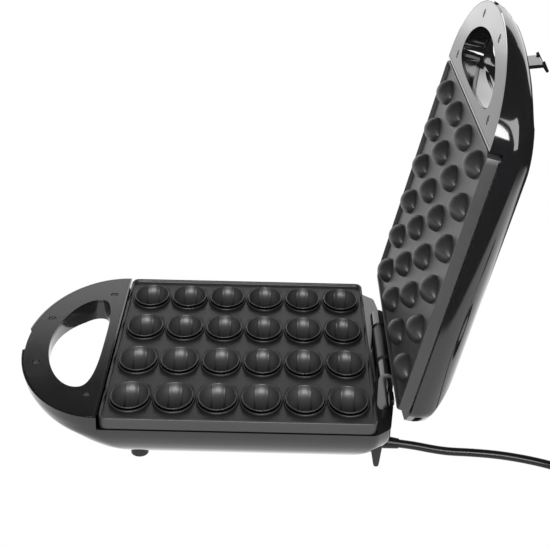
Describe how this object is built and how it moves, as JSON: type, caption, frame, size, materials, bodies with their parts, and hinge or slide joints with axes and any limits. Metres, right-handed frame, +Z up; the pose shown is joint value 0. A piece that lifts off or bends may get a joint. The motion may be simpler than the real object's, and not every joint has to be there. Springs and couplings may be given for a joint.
{
  "type": "cake pop maker",
  "caption": "Open hinged electric cake pop maker: ribbed oval cups below, pointed domes above, black case, handles with finger openings, nose latch, mains cord.",
  "frame": {"origin": "middle of the plan box of the open maker without its cord, on the table", "axes": "+X from the handle to the hinge, +Y to the left side as seen from the handle, +Z up"},
  "size_m": [0.6146, 0.2597, 0.3184],
  "materials": {
    "case_black": "moulded black plastic, glossy",
    "trim_black": "moulded black plastic, fine satin grain",
    "latch_black": "moulded black plastic, glossy",
    "plate_coating": "cast aluminium with a dark grey non-stick coating, satin",
    "screw_steel": "plated steel",
    "element_steel": "annealed steel tube",
    "pan_steel": "bare sheet aluminium",
    "fuse_sleeve": "woven glass sleeve, off white",
    "terminal_plastic": "ivory plastic",
    "wire_insulation": "silicone insulation, off white",
    "foot_rubber": "black rubber",
    "leg_plastic": "moulded black plastic",
    "hinge_grey": "moulded dark plastic, satin",
    "cord_black": "black flexible sheath, semi-matt",
    "pin_brass": "nickel-plated brass",
    "lamp_glass": "clear glass tube",
    "lens_red": "transparent red plastic",
    "lens_green": "transparent green plastic"
  },
  "bodies": {
    "base": {"base_shell": "case_black", "base_handle_trim": "trim_black", "base_trim_screws": "screw_steel", "lower_baking_plate": "plate_coating", "lower_heating_element": "element_steel", "lower_reflector_pan": "pan_steel", "lower_plate_screws": "screw_steel", "base_case_screws": "screw_steel", "thermostat": "pan_steel", "thermal_fuse": "fuse_sleeve", "terminal_block": "terminal_plastic", "base_wiring": "wire_insulation", "front_foot_left": "foot_rubber", "front_foot_right": "foot_rubber", "rear_leg_left": "leg_plastic", "rear_leg_right": "leg_plastic", "hinge_pin_left": "screw_steel", "hinge_pin_right": "screw_steel", "hinge_bushes": "hinge_grey", "hinge_wire_sleeve": "wire_insulation", "strain_relief": "cord_black", "inner_cord": "cord_black", "cord_clamp": "terminal_plastic", "power_cord": "cord_black", "cord_coil": "cord_black", "plug": "cord_black", "plug_pins": "pin_brass"},
    "lid": {"lid_shell": "case_black", "lid_handle_trim": "trim_black", "lid_trim_screws": "screw_steel", "upper_baking_plate": "plate_coating", "upper_heating_element": "element_steel", "upper_reflector_pan": "pan_steel", "upper_plate_screws": "screw_steel", "hinge_barrel": "hinge_grey", "hinge_barrel_screws": "screw_steel", "power_lamp": "lamp_glass", "ready_lamp": "lamp_glass", "power_lamp_lens": "lens_red", "ready_lamp_lens": "lens_green", "lid_wiring": "wire_insulation", "latch_pin": "screw_steel"},
    "latch": {"latch": "latch_black"}
  },
  "joints": [
    {"name": "lid_hinge", "type": "hinge", "parent": "base", "child": "lid", "pos_m": [0.08703, 0, 0.046], "axis": [0, 1, 0], "range_deg": [-104.15, 0]},
    {"name": "latch_swing", "type": "hinge", "parent": "lid", "child": "latch", "pos_m": [0.16803, 0, 0.30009], "axis": [0, 1, 0], "range_deg": [-174.3, 0]}
  ]
}
